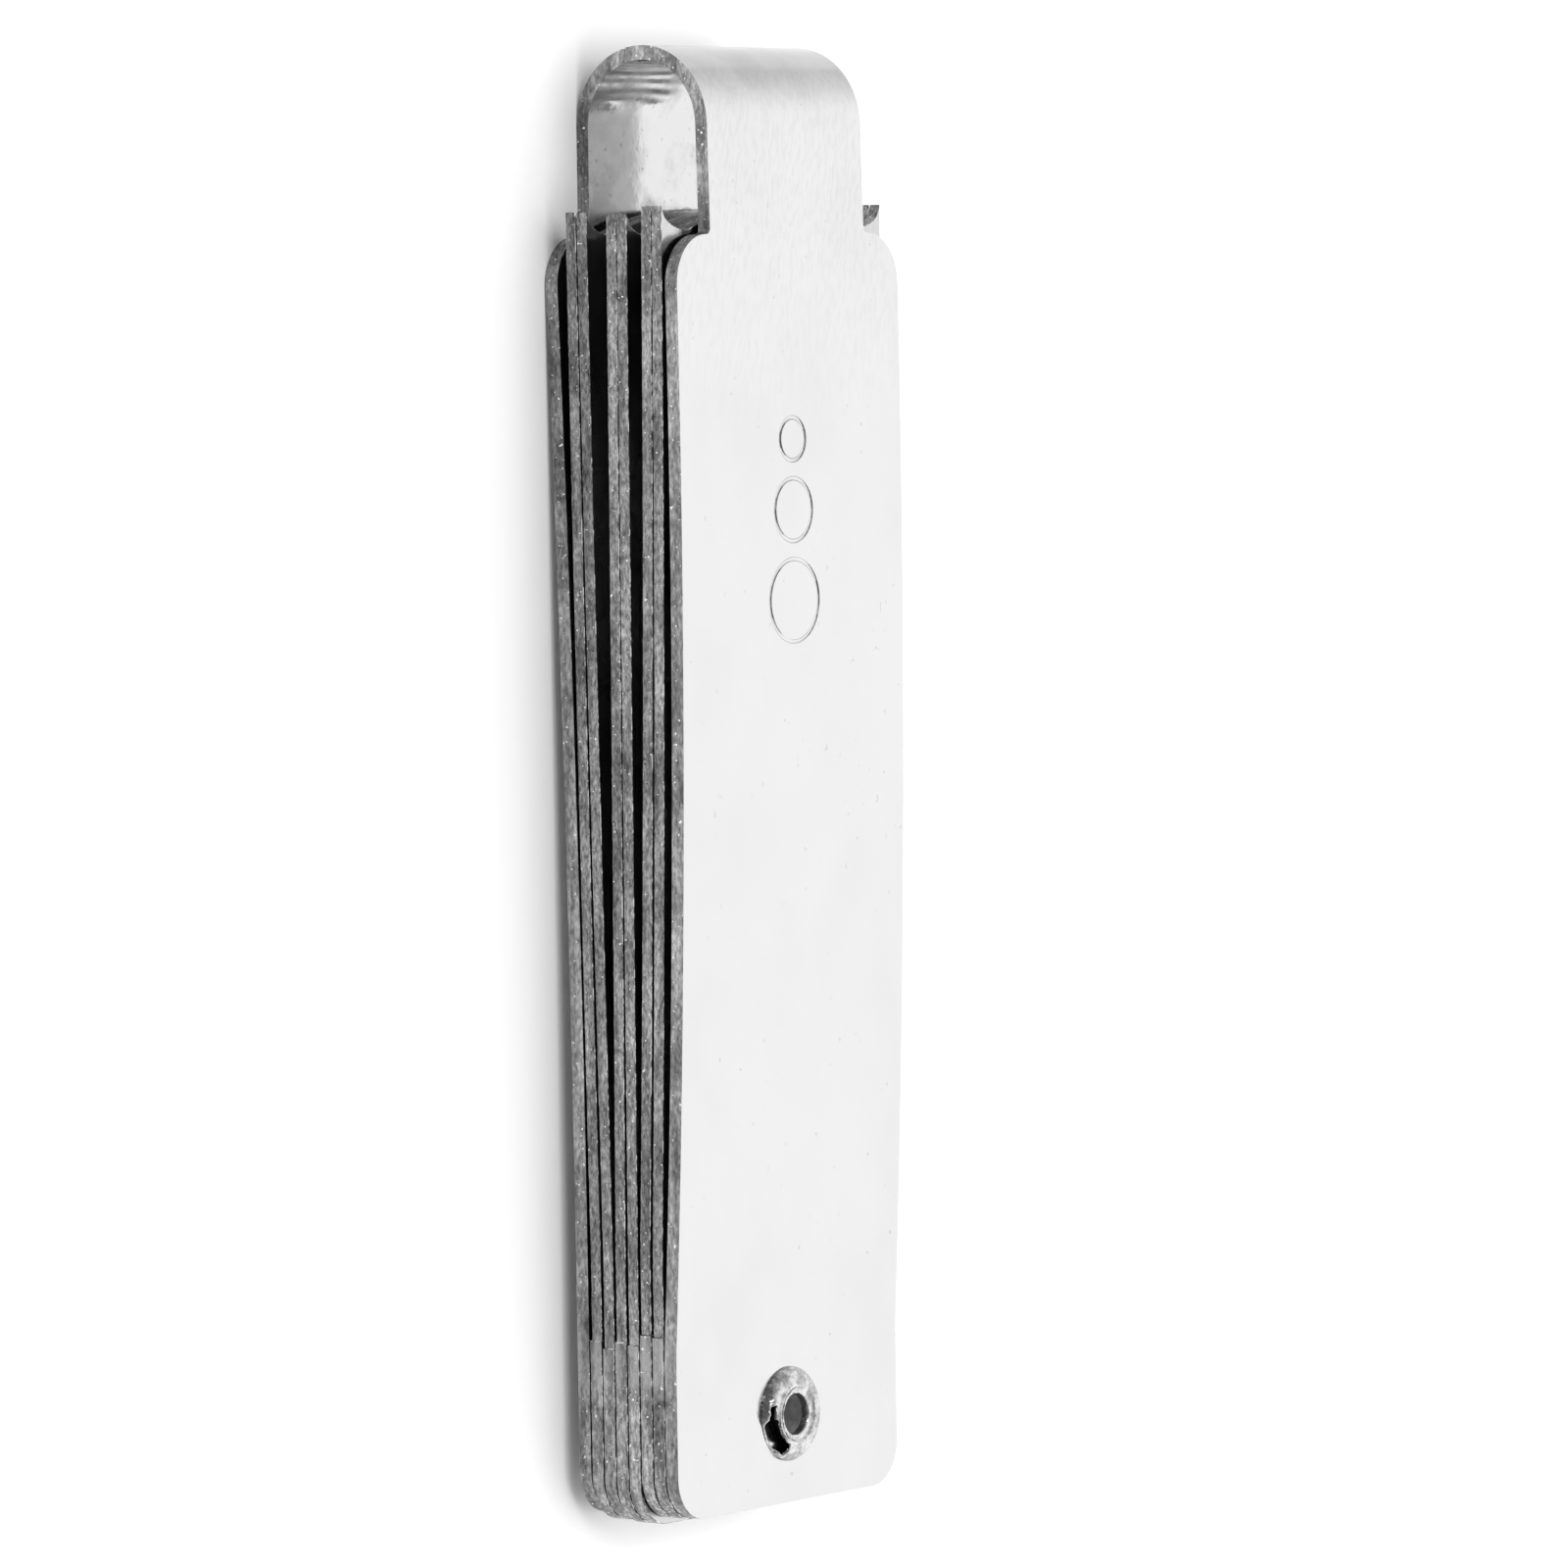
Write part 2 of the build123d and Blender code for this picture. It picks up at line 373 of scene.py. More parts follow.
def cover_slope(y):
    turned = (FRONT_RISE + FRONT_RETURN) * (y - COVER_FLAT_END) / SPLAY_RUN
    return math.radians(FRONT_RISE - turned)


def cover_height(y):
    mean_slope = (math.radians(FRONT_RISE) + cover_slope(y)) / 2
    return STACK + mean_slope * (y - COVER_FLAT_END)


def press_rings(case):
    """Round-bottomed rings pressed into the front cover, along its lean."""
    top = RING_ROW_TOP
    for size in RING_SIZES:
        y = top - size / 2
        deselect()
        bpy.ops.mesh.primitive_torus_add(
            major_radius=size / 2 - RING_LINE / 2,
            minor_radius=RING_LINE / 2,
            major_segments=HOLE_SIDES,
            minor_segments=RING_LINE_SIDES,
            location=(0, y, cover_height(y) + RING_LIFT),
            rotation=(cover_slope(y), 0, 0),
        )
        combine(case, bpy.context.object, "DIFFERENCE")
        top -= size + RING_SPACING


def is_case_edge(face):
    """A face of the sheet's sheared edge, not of its front or back."""
    sideways = abs(face.normal.x) > 0.5
    on_cover = face.center.y < PIVOT_TO_SHOULDER + MM
    return sideways or (on_cover and abs(face.normal.z) < 0.5)


def is_loop_inside(face):
    """A face of the sheet that looks into the loop's opening."""
    middle = Vector((0, LEG_TOP, STACK / 2))
    inwards = middle - face.center
    inwards.x = 0
    in_loop = face.center.y > PIVOT_TO_SHOULDER and not is_case_edge(face)
    return in_loop and face.normal.dot(inwards) > 0


def paint_edges(piece, is_edge, *sheet_steels):
    """The first steel on the sheet's two sides, the second on its sheared edges."""
    piece.data.materials.clear()
    for steel in sheet_steels:
        piece.data.materials.append(steel)
    for face in piece.data.polygons:
        face.material_index = int(is_edge(face))


def folded_case(steels):
    case = sheet_strip()
    combine(case, case_outline(), "INTERSECT")
    drill(case, 0, EYELET_HOLE)
    press_rings(case)
    paint_edges(case, is_case_edge, steels["case"], steels["case_edge"], steels["burr"])
    case.data.materials.append(steels["loop_inside"])
    for face in case.data.polygons:
        if is_loop_inside(face):
            face.material_index = LOOP_INSIDE_SLOT
    soften(case)
    return case


# ---------------------------------------------------------------- gauge leaves

def tip_height(x):
    """How far along the leaf its tip's outline is, at x: ears, notches and crown."""
    notch_x = BLADE_WIDTH / 2 - EAR_REACH
    notch_y = EAR_RADIUS - EAR_DEPTH
    away = abs(x)
    if away > notch_x:
        share = (away - notch_x) / EAR_REACH
        return notch_y + EAR_DEPTH * (1 - math.sqrt(max(0, 1 - share * share)))
    sag = TIP_CROWN + EAR_DEPTH
    radius = (notch_x * notch_x + sag * sag) / (2 * sag)
    return EAR_RADIUS + TIP_CROWN - radius + math.sqrt(radius * radius - away * away)


def leaf_blank():
    """A flat leaf without its holes, its middle plane at height zero."""
    length = PIVOT_TO_END + EAR_RADIUS
    middle = (EAR_RADIUS - PIVOT_TO_END) / 2
    blank = plate("leaf_blank", BLADE_WIDTH, length, (0, middle, -BLADE / 2))
    edit(blank, "VERT")
    round_corners(lambda v: v.co.y < middle, END_CORNER)
    bpy.ops.mesh.select_mode(type="EDGE")
    pick(lambda e: all(v.co.y > middle for v in e.verts), "edges")
    bpy.ops.mesh.subdivide(number_cuts=TIP_CUTS)
    bpy.ops.mesh.select_mode(type="VERT")
    mesh = bmesh.from_edit_mesh(blank.data)
    places = [v.co.x for v in mesh.verts if v.co.y > middle]
    for x in places:
        pick(lambda v, x=x: v.co.y > middle and abs(v.co.x - x) < TOUCHING)
        bpy.ops.transform.translate(value=(0, tip_height(x) - EAR_RADIUS, 0))
    bpy.ops.mesh.select_all(action="SELECT")
    push((0, 0, BLADE))
    bpy.ops.mesh.select_all(action="SELECT")
    bpy.ops.mesh.normals_make_consistent(inside=False)
    done()
    combine(blank, leaf_hub(), "UNION")
    return blank


def set_hub_end(piece, hub_end):
    """Moves the ledge where the hub stops."""
    edit(piece, "VERT")
    pick(lambda v: abs(v.co.y - HUB_END) < TOUCHING)
    bpy.ops.transform.translate(value=(0, hub_end - HUB_END, 0))
    done()


def leaf_hub():
    """The thicker, slightly wider end of a leaf."""
    length = PIVOT_TO_END + HUB_END
    middle = (HUB_END - PIVOT_TO_END) / 2
    hub = plate("hub", HUB_WIDTH, length, (0, middle, -HUB / 2))
    edit(hub, "VERT")
    round_corners(lambda v: v.co.y < middle, END_CORNER)
    bpy.ops.mesh.select_all(action="SELECT")
    push((0, 0, HUB))
    bpy.ops.mesh.select_all(action="SELECT")
    bpy.ops.mesh.normals_make_consistent(inside=False)
    done()
    return hub


class Bend:
    """Bends a flat blade upwards at successive lines, the part beyond each line at a time."""

    def __init__(self):
        self.y, self.z, self.slope = LEAF_CREASE, 0.0, 0.0

    def over(self, run, degrees, steps):
        """Turns by an angle in even small steps along a run of the blade."""
        step = run / steps
        turn = math.radians(degrees) / steps
        for index in range(steps):
            half = step / 2 if index == 0 else step
            self.y += half * math.cos(self.slope)
            self.z += half * math.sin(self.slope)
            self.fold(turn)
        self.y += step / 2 * math.cos(self.slope)
        self.z += step / 2 * math.sin(self.slope)

    def fold(self, turn):
        across = (0, math.cos(self.slope), math.sin(self.slope))
        line = (0, self.y, self.z)
        bpy.ops.mesh.select_all(action="SELECT")
        bpy.ops.mesh.bisect(plane_co=line, plane_no=across)
        ahead = Vector(across)
        start = Vector(line)
        pick(lambda v: (v.co - start).dot(ahead) > TOUCHING)
        bpy.ops.transform.rotate(
            value=-turn, orient_axis="X", orient_type="GLOBAL", center_override=line
        )
        self.slope += turn


def bend_leaf(piece, rise, turn_back):
    """A slight crease beyond the hub, then a long sweep back."""
    edit(piece, "VERT")
    bend = Bend()
    crease_run = LEAF_CREASE_RADIUS * math.radians(abs(rise))
    bend.over(crease_run, rise, CREASE_FACETS)
    bend.over(EAR_RADIUS + PAST_TIP - LEAF_CREASE, -turn_back, LEAF_SWEEP_FACETS)
    done()


def is_leaf_edge(face):
    return abs(face.normal.z) < 0.5


def gauge_leaf(node, blank, steels):
    """One leaf: the blank with its own gauge holes, bent and lifted to its place."""
    shift, hub_end, rise, turn_back = LEAF_FORMS[node]
    number = node.rsplit("_", 1)[1]
    take(blank)
    bpy.ops.object.duplicate()
    leaf = bpy.context.object
    leaf.name = f"leaf_{number}"
    set_hub_end(leaf, hub_end - shift)
    leaf.location.y = shift
    freeze(leaf)
    drill(leaf, 0, LEAF_BORE)
    for mount in frame["record"]["mounts"]:
        if mount["name"].startswith(f"leaf_{number}_hole_"):
            drill(leaf, mount["pos_m"][1], mount["dims"]["r_mm"] * MM)
    bend_leaf(leaf, rise, turn_back)
    paint_edges(leaf, is_leaf_edge, steels["leaf"], steels["leaf_edge"], steels["burr"])
    soften(leaf)
    leaf.location.z = leaf_height(number)
    freeze(leaf)
    return leaf


def leaf_height(number):
    for joint in frame["joints"]:
        if joint["name"] == f"leaf_{number}_swing":
            return joint["pos_m"][2]
    raise ValueError(f"no joint for leaf {number}")


# ---------------------------------------------------------------- eyelet

def tear_angle(point):
    return math.degrees(math.atan2(point.y, point.x)) % 360


def in_tear(point):
    """Whether a point of the curl lies where it split open."""
    outwards = point.xy.length
    angle = tear_angle(point)
    if point.z < STACK or not TEAR_FROM < angle < TEAR_TO:
        return False
    if angle < TEAR_WIDENS:
        return SLIT_INSIDE < outwards < SLIT_OUTSIDE
    return TEAR_INSIDE < outwards < TEAR_OUTSIDE


def curl_part(vert, start, end, inside):
    """Whether a point lies on the curl between two angles, outside a radius."""
    on_curl = vert.co.z > STACK - 0.1 * MM and vert.co.xy.length > inside
    return on_curl and start < tear_angle(vert.co) < end


def is_ragged(vert):
    """A point on the tear's own edge."""
    on_tear = curl_part(vert, TEAR_FROM - 4, TEAR_TO + 4, TEAR_INSIDE - 0.1 * MM)
    return on_tear and vert.is_boundary and vert.co.xy.length < 2.4 * MM


def tear_curl():
    """Splits the curl, leaving a ring inside and a shard outside, with ragged ends."""
    pick(lambda f: in_tear(f.calc_center_median()), "faces")
    bpy.ops.mesh.delete(type="FACE")
    bpy.ops.mesh.select_mode(type="VERT")
    pick(is_ragged)
    bpy.ops.transform.vertex_random(offset=TEAR_ROUGHNESS, uniform=0.3, seed=5)
    pick(lambda v: curl_part(v, TEAR_WIDENS, SHARD_TO, SHARD_INSIDE))
    bpy.ops.transform.resize(value=SHARD_SHRINK, center_override=(0, 0, STACK))
    pick(lambda v: curl_part(v, TEAR_TO - 2, TEAR_TO + 7, FLAP_INSIDE))
    bpy.ops.transform.translate(value=FLAP_MOVE)
    pick(lambda v: curl_part(v, TEAR_FROM - 7, TEAR_FROM + 2, SLIT_END_INSIDE))
    bpy.ops.transform.translate(value=SLIT_END_MOVE)
    pick(is_inner_lip)
    bpy.ops.transform.translate(value=LIP_MOVE)


def is_inner_lip(vert):
    """The inner ring's edge beside the tear, which stands up a little."""
    return is_ragged(vert) and vert.co.xy.length < LIP_INSIDE


def eyelet(steels):
    """A tube rolled over at both ends, drawn up ring by ring from its back flange."""
    rings = [(radius * MM, height * MM) for radius, height in FLANGE_RINGS]
    rings += [(radius * MM, height * MM + STACK) for radius, height in CURL_RINGS]
    deselect()
    first_radius, first_height = rings[0]
    bpy.ops.mesh.primitive_circle_add(
        vertices=EYELET_SIDES, radius=first_radius, location=(0, 0, first_height)
    )
    piece = bpy.context.object
    piece.name = "eyelet"
    freeze(piece)
    edit(piece, "EDGE")
    bpy.ops.mesh.select_all(action="SELECT")
    for (radius, height), (next_radius, next_height) in zip(rings, rings[1:]):
        bpy.ops.mesh.extrude_region_move(
            TRANSFORM_OT_translate={"value": (0, 0, next_height - height)}
        )
        grow = next_radius / radius
        bpy.ops.transform.resize(value=(grow, grow, 1), center_override=(0, 0, next_height))
    bpy.ops.mesh.select_all(action="SELECT")
    bpy.ops.mesh.normals_make_consistent(inside=False)
    bpy.ops.mesh.select_mode(type="FACE")
    tear_curl()
    done()
    piece.data.materials.append(steels["eyelet"])
    piece.data.materials.append(steels["eyelet_inside"])
    piece.data.materials.append(steels["eyelet_bore"])
    thicken(piece)
    dull_bore(piece)
    finish_with(piece, "SUBSURF", levels=2, render_levels=2)
    take(piece)
    bpy.ops.object.shade_smooth()
    return piece


def dull_bore(piece):
    """The bore between the two funnels has its own dull steel."""
    for face in piece.data.polygons:
        down_bore = 0 < face.center.z < STACK + 0.1 * MM
        if down_bore and face.center.xy.length < 1.12 * MM:
            face.material_index = BORE_SLOT


def thicken(piece):
    """Gives the drawn skin its thickness, on the side away from the open air."""
    outward = piece.data.polygons[0].normal.z < 0
    finish_with(
        piece,
        "SOLIDIFY",
        thickness=EYELET_SHEET,
        offset=-1.0 if outward else 1.0,
        use_even_offset=False,
        material_offset=1,
        material_offset_rim=0,
    )


# ---------------------------------------------------------------- steels

def node_tree(name):
    material = bpy.data.materials.new(name)
    material.use_nodes = True
    tree = material.node_tree
    shader = tree.nodes["Principled BSDF"]
    shader.inputs["Metallic"].default_value = 1.0
    return material, tree, shader


def add(tree, kind, **values):
    node = tree.nodes.new(kind)
    for key, value in values.items():
        if hasattr(node, key):
            setattr(node, key, value)
        else:
            node.inputs[key.replace("_", " ").title()].default_value = value
    return node


def place(tree, scale, slant=0.0):
    """Object coordinates, stretched by a scale for each axis and turned about Z."""
    coordinates = add(tree, "ShaderNodeTexCoord")
    mapping = add(tree, "ShaderNodeMapping", vector_type="TEXTURE")
    mapping.inputs["Scale"].default_value = [1 / factor for factor in scale]
    mapping.inputs["Rotation"].default_value = (0, 0, slant)
    tree.links.new(coordinates.outputs["Object"], mapping.inputs["Vector"])
    return mapping.outputs["Vector"]


def noise(tree, scale, detail=4.0, roughness=0.55, slant=0.0):
    """A noise pattern whose scale is given in patterns per metre on each axis."""
    pattern = add(tree, "ShaderNodeTexNoise", Scale=1.0, Detail=detail, Roughness=roughness)
    tree.links.new(place(tree, scale, slant), pattern.inputs["Vector"])
    return pattern.outputs["Fac"]


def ramp(tree, source, stops):
    """Turns a pattern into greys: (position, grey) for each stop."""
    node = add(tree, "ShaderNodeValToRGB")
    points = node.color_ramp.elements
    while len(points) < len(stops):
        points.new(0.5)
    for point, (position, grey) in zip(points, stops):
        point.position = position
        point.color = (grey, grey, grey, 1)
    tree.links.new(source, node.inputs["Fac"])
    return node.outputs["Color"]


def bumps(tree, shader, layers):
    """Stacks bump layers: (pattern, distance in metres, strength)."""
    normal = None
    for source, distance, strength in layers:
        bump = add(tree, "ShaderNodeBump")
        bump.inputs["Distance"].default_value = distance
        bump.inputs["Strength"].default_value = strength
        tree.links.new(source, bump.inputs["Height"])
        if normal:
            tree.links.new(normal, bump.inputs["Normal"])
        normal = bump.outputs["Normal"]
    tree.links.new(normal, shader.inputs["Normal"])


def mix(tree, kind, first, second, amount=1.0):
    """Blends two patterns; either may be a plain grey."""
    node = add(tree, "ShaderNodeMixRGB", blend_type=kind)
    for slot, value in (("Fac", amount), ("Color1", first), ("Color2", second)):
        if isinstance(value, (int, float)):
            plain = value if slot == "Fac" else (value, value, value, 1)
            node.inputs[slot].default_value = plain
        else:
            tree.links.new(value, node.inputs[slot])
    return node.outputs["Color"]


def cloudy_loop(tree):
    """Uneven polish of the loop: soft grey clouds with a few clearer edges."""
    clouds = noise(tree, (300, 220, 300), 4, 0.65)
    return ramp(tree, clouds, [(0.34, 0.84), (0.5, 0.95), (0.62, 1.0)])


def along_sheet(tree, start, end):
    """0 at one place along the sheet, in millimetres, changing softly to 1 at another."""
    coordinates = add(tree, "ShaderNodeTexCoord")
    split = add(tree, "ShaderNodeSeparateXYZ")
    tree.links.new(coordinates.outputs["Object"], split.inputs["Vector"])
    fade = add(tree, "ShaderNodeMapRange", interpolation_type="SMOOTHSTEP")
    fade.inputs["From Min"].default_value = start * MM
    fade.inputs["From Max"].default_value = end * MM
    tree.links.new(split.outputs["Y"], fade.inputs["Value"])
    return fade.outputs["Result"]


def face_steel(name, grey, gloss, dull, streak):
    """Bright rolled sheet: faint lengthwise polish marks, cloudy gloss, dents and scuffs, and painted shade over
    the loop's crest.
    """
    material, tree, shader = node_tree(name)
    cloud = noise(tree, (160, 110, 160), 3)
    streaks = noise(tree, (4200, 1300, 4200), 3, 0.5, slant=-0.22)
    hairs = noise(tree, (16000, 900, 16000), 2)
    specks = noise(tree, (2600, 2100, 2600), 2, 0.4)
    dents = noise(tree, (350, 260, 350), 2)
    tone = ramp(tree, cloud, [(0.32, grey * 0.97), (0.6, grey)])
    marks = ramp(tree, streaks, [(0.34, 0.93), (0.56, 0.99)])
    tone = mix(tree, "MULTIPLY", tone, mix(tree, "MIX", 1.0, marks, along_sheet(tree, 46, 62)))
    worn = mix(tree, "MIX", 1.0, cloudy_loop(tree), along_sheet(tree, 64, 70))
    tone = mix(tree, "MULTIPLY", tone, worn)
    # Painted shade: the colour is taken down to 0.76 times over the loop's crest, 66 to 68.8 mm along the sheet.
    loop_crest_painted_shade = mix(tree, "MIX", 1.0, 0.76, along_sheet(tree, 66, 68.8))
    tone = mix(tree, "MULTIPLY", tone, loop_crest_painted_shade)
    tone = mix(tree, "MULTIPLY", tone, ramp(tree, specks, [(0.23, 0.86), (0.28, 1.0)]))
    tree.links.new(tone, shader.inputs["Base Color"])
    tree.links.new(ramp(tree, cloud, [(0.35, dull), (0.7, gloss)]), shader.inputs["Roughness"])
    ripple = mix(tree, "MULTIPLY", streaks, along_sheet(tree, 48, 58))
    ripple = mix(tree, "MULTIPLY", ripple, along_sheet(tree, 69, 65))
    layers = [(dents, 0.06 * MM, 0.2), (hairs, 0.002 * MM, streak), (ripple, 0.014 * MM, streak)]
    bumps(tree, shader, layers)
    return material


def stained_and_shaded_sheet(name, grey):
    """The loop's inside: the same sheet drawn darker, as painted shade, with grey stains and an uneven skin."""
    material, tree, shader = node_tree(name)
    stains = noise(tree, (360, 330, 360), 4, 0.6)
    pits = noise(tree, (2600, 2600, 2600), 3, 0.6)
    # Painted shade: a darker grey than the outside of the sheet, for the inside of the loop; the stains and pits
    # darken it further.
    tone = ramp(tree, stains, [(0.4, grey * 0.82), (0.46, grey * 0.93), (0.54, grey)])
    tone = mix(tree, "MULTIPLY", tone, ramp(tree, pits, [(0.28, 0.7), (0.36, 1.0)]))
    tree.links.new(tone, shader.inputs["Base Color"])
    tree.links.new(ramp(tree, stains, [(0.4, 0.24), (0.6, 0.08)]), shader.inputs["Roughness"])
    bumps(tree, shader, [(stains, 0.05 * MM, 0.15), (pits, 0.01 * MM, 0.4)])
    return material


def sheared_steel(name, dark, light):
    """Grey torn grain of a sheared edge, mottled and drawn out along the sheet, with painted light in a band near
    the pivot end.
    """
    material, tree, shader = node_tree(name)
    patches = noise(tree, (900, 260, 900), 3, 0.6)
    strips = noise(tree, (60, 90, 1400), 2, 0.5)
    grain = noise(tree, (6500, 2400, 6500), 5, 0.7)
    pits = noise(tree, (14000, 9000, 14000), 2, 0.6)
    flecks = noise(tree, (5200, 5200, 5200), 1, 0.4)
    middle = (dark + light) / 2
    tone = ramp(tree, grain, [(0.32, dark * 0.7), (0.5, middle), (0.66, light * 1.15)])
    tone = mix(tree, "MULTIPLY", tone, ramp(tree, patches, [(0.38, 0.55), (0.62, 1.2)]))
    tone = mix(tree, "MULTIPLY", tone, ramp(tree, strips, [(0.35, 0.75), (0.65, 1.2)]))
    # Painted light: the edges are drawn lighter, in patches, from 1.4 to 4.9 mm along the sheet, about the leaves'
    # hubs.
    hub_band_painted_light = mix(tree, "MULTIPLY", along_sheet(tree, 1.4, 2.6), along_sheet(tree, 4.9, 4.4))
    hub_band_painted_light = mix(tree, "MULTIPLY", hub_band_painted_light, ramp(tree, strips, [(0.4, 0.15), (0.6, 0.75)]))
    tone = mix(tree, "MIX", tone, light, hub_band_painted_light)
    tone = mix(tree, "LIGHTEN", tone, ramp(tree, flecks, [(0.7, 0.0), (0.76, 0.95)]))
    tree.links.new(tone, shader.inputs["Base Color"])
    tree.links.new(ramp(tree, pits, [(0.3, 0.34), (0.7, 0.58)]), shader.inputs["Roughness"])
    bumps(tree, shader, [(grain, 0.04 * MM, 0.5), (pits, 0.015 * MM, 0.4)])
    return material


def burr_steel(name):
    """The fine burr along a sheared edge: dark, with near-white patches that are painted highlights along the edge
    lines.
    """
    material, tree, shader = node_tree(name)
    breaks = noise(tree, (2400, 1700, 2400), 4, 0.6)
    # Painted highlights: the burr's grey runs up to white in patches, so that the bevels read as bright edge
    # lines.
    tone = ramp(tree, breaks, [(0.44, 0.07), (0.52, 0.25), (0.6, 1.0)])
    tree.links.new(tone, shader.inputs["Base Color"])
    shader.inputs["Metallic"].default_value = 0.2
    shader.inputs["Roughness"].default_value = 0.4
    bumps(tree, shader, [(breaks, 0.02 * MM, 0.4)])
    return material


def rolled_steel(name, grey):
    """The eyelet: bright plate, hammered a little uneven as it was rolled over."""
    material, tree, shader = node_tree(name)
    hammered = noise(tree, (1300, 1300, 1300), 2)
    fine = noise(tree, (4200, 4200, 4200), 3)
    tarnish = noise(tree, (1700, 1700, 1700), 3, 0.6)
    tone = ramp(tree, fine, [(0.3, grey * 0.7), (0.6, grey)])
    tone = mix(tree, "MULTIPLY", tone, ramp(tree, tarnish, [(0.42, 0.6), (0.58, 1.0)]))
    tree.links.new(tone, shader.inputs["Base Color"])
    tree.links.new(ramp(tree, fine, [(0.3, 0.2), (0.7, 0.08)]), shader.inputs["Roughness"])
    bumps(tree, shader, [(hammered, 0.4 * MM, 0.5), (fine, 0.03 * MM, 0.4)])
    return material


def hidden_side_shaded_steel(name):
    """The curl's hidden side, dull, painted nearly black as shade."""
    material, tree, shader = node_tree(name)
    shade_mottle = noise(tree, (1800, 1800, 1800), 3)
    # Painted shade: a near-black grey, 0.02 to 0.09, on the skin's hidden side, which shows where the tear opens
    # it.
    tree.links.new(ramp(tree, shade_mottle, [(0.35, 0.02), (0.65, 0.09)]), shader.inputs["Base Color"])
    shader.inputs["Roughness"].default_value = 0.6
    return material


def dusty_steel(name):
    """The eyelet's bore, dulled by dust and grease."""
    material, tree, shader = node_tree(name)
    dust = noise(tree, (1500, 1500, 1500), 3)
    tree.links.new(ramp(tree, dust, [(0.3, 0.3), (0.7, 0.6)]), shader.inputs["Base Color"])
    shader.inputs["Metallic"].default_value = 0.35
    shader.inputs["Roughness"].default_value = 0.5
    return material


def all_steels():
    return {
        "case": face_steel("bright_case_steel", 0.585, 0.1, 0.2, 0.35),
        "case_edge": sheared_steel("sheared_case_steel", 0.2, 0.47),
        "leaf": face_steel("bright_leaf_steel", 0.5, 0.16, 0.3, 0.7),
        "leaf_edge": sheared_steel("sheared_leaf_steel", 0.13, 0.44),
        "burr": burr_steel("bright_burr_steel"),
        "loop_inside": stained_and_shaded_sheet("stained_loop_steel", 0.55),
        "eyelet": rolled_steel("rolled_eyelet_steel", 0.6),
        "eyelet_bore": dusty_steel("dusty_bore_steel"),
        "eyelet_inside": hidden_side_shaded_steel("stained_eyelet_steel"),
    }


# ---------------------------------------------------------------- the scene round it

TENT_ACROSS, TENT_ACROSS_LIGHT = (-0.9, 0.75), (0.24, 1.5)
TENT_ALONG, TENT_ALONG_LIGHT = (0.15, 0.8), (1.0, 0.62)
OVERHEAD_SIZE, OVERHEAD_ENERGY, OVERHEAD_SPOT = 0.8, 4.0, Vector((0, 0.03, 1.0))
GLINT_SIZE, GLINT_ENERGY, GLINT_SPOT = 0.36, 1.8, Vector((-0.45, 0.34, 0.82))
FLOOR_SIZE = 6

CAMERA_FROM_SIDE = 54.34
CAMERA_FROM_LOOP = 3.05
CAMERA_ROLL = -0.88
CAMERA_DISTANCE = 0.4804
CAMERA_LENS = 218.3
CAMERA_AIM = Vector((0, 31.74 * MM, 3 * MM))
CAMERA_ASIDE = 2.78 * MM


def pale_floor():
    deselect()
    bpy.ops.mesh.primitive_plane_add(size=FLOOR_SIZE, location=(0, 0, cad_low.z))
    floor = bpy.context.object
    floor.name = "floor"
    material = bpy.data.materials.new("pale_floor")
    material.use_nodes = True
    shader = material.node_tree.nodes["Principled BSDF"]
    shader.inputs["Base Color"].default_value = (0.95, 0.95, 0.95, 1)
    shader.inputs["Roughness"].default_value = 0.9
    shader.inputs["Specular IOR Level"].default_value = 0.1
    floor.data.materials.append(material)


def fading_light(tree, direction, between, strengths):
    """The tent's strength, changing softly between two directions."""
    fade = add(tree, "ShaderNodeMapRange", interpolation_type="SMOOTHSTEP")
    fade.inputs["From Min"].default_value, fade.inputs["From Max"].default_value = between
    fade.inputs["To Min"].default_value, fade.inputs["To Max"].default_value = strengths
    tree.links.new(direction, fade.inputs["Value"])
    return fade.outputs["Result"]


def soft_lamp(name, size, energy, spot):
    """A round lamp that faces the gauge."""
    lamp = bpy.data.lights.new(name, "AREA")
    lamp.shape = "DISK"
    lamp.size = size
    lamp.energy = energy
    holder = bpy.data.objects.new(name, lamp)
    holder.location = spot
    holder.rotation_euler = spot.to_track_quat("Z", "Y").to_euler()
    bpy.context.collection.objects.link(holder)
    return holder


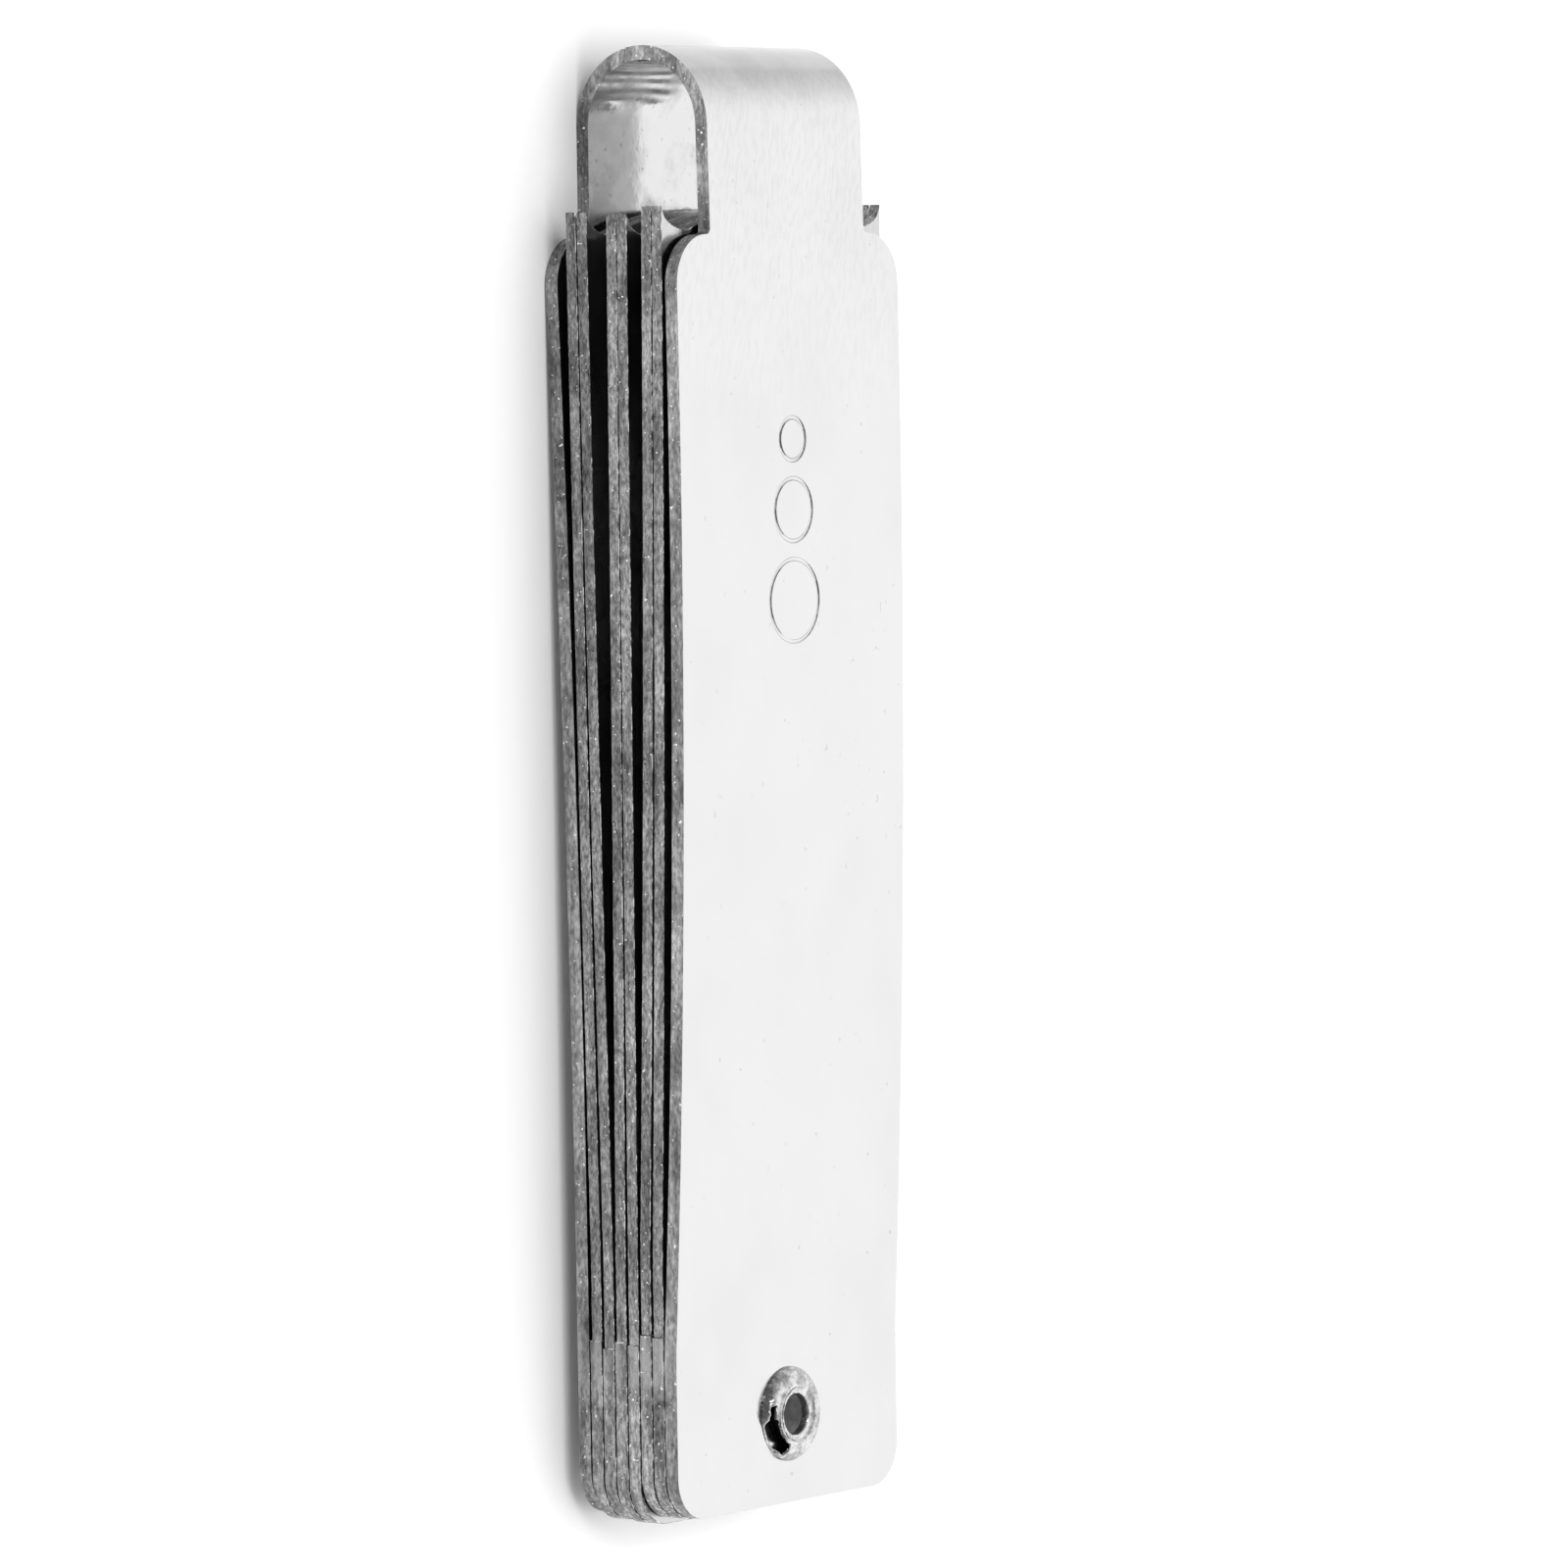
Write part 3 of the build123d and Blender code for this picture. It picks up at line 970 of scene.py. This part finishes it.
def studio_light():
    """A white tent, dim on the near side, a wide lamp above and a small one for glints."""
    world = bpy.data.worlds.new("white_tent")
    bpy.context.scene.world = world
    world.use_nodes = True
    tree = world.node_tree
    coordinates = add(tree, "ShaderNodeTexCoord")
    split = add(tree, "ShaderNodeSeparateXYZ")
    tree.links.new(coordinates.outputs["Generated"], split.inputs["Vector"])
    across = fading_light(tree, split.outputs["X"], TENT_ACROSS, TENT_ACROSS_LIGHT)
    along = fading_light(tree, split.outputs["Y"], TENT_ALONG, TENT_ALONG_LIGHT)
    both = add(tree, "ShaderNodeMath", operation="MULTIPLY")
    tree.links.new(across, both.inputs[0])
    tree.links.new(along, both.inputs[1])
    background = tree.nodes["Background"]
    background.inputs["Color"].default_value = (1, 1, 1, 1)
    tree.links.new(both.outputs["Value"], background.inputs["Strength"])
    overhead = soft_lamp("overhead_lamp", OVERHEAD_SIZE, OVERHEAD_ENERGY, OVERHEAD_SPOT)
    overhead.visible_glossy = False
    soft_lamp("glint_lamp", GLINT_SIZE, GLINT_ENERGY, GLINT_SPOT)


def camera():
    """Looks from the leaves' open side, a little above, with the loop at the top."""
    from_side = math.radians(CAMERA_FROM_SIDE)
    from_loop = math.radians(CAMERA_FROM_LOOP)
    back = Vector((
        -math.sin(from_side) * math.cos(from_loop),
        math.sin(from_loop),
        math.cos(from_side) * math.cos(from_loop),
    ))
    right = Vector((0, 1, 0)).cross(back).normalized()
    aim = CAMERA_AIM + CAMERA_ASIDE * right
    turn = Matrix.Rotation(math.radians(CAMERA_ROLL), 3, back)
    right = turn @ right
    up = back.cross(right)
    lens_data = bpy.data.cameras.new("camera")
    lens_data.lens = CAMERA_LENS
    lens_data.sensor_width = 36
    lens_data.clip_start = 0.01
    view = bpy.data.objects.new("camera", lens_data)
    bpy.context.collection.objects.link(view)
    facing = Matrix((right, up, back)).transposed().to_4x4()
    facing.translation = aim + back * CAMERA_DISTANCE
    view.matrix_world = facing
    bpy.context.scene.camera = view


steels = all_steels()
case = folded_case(steels)
case.name = "case"
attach(case, "case")
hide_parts("folded_case")

blank = leaf_blank()
for node in LEAVES:
    leaf = gauge_leaf(node, blank, steels)
    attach(leaf, "leaf_" + node.rsplit("_", 1)[1])
    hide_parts(node)
bpy.data.objects.remove(blank)

pivot = eyelet(steels)
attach(pivot, "case")
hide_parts("pivot_eyelet")

pale_floor()
studio_light()
camera()
bpy.context.scene.view_settings.view_transform = "Standard"
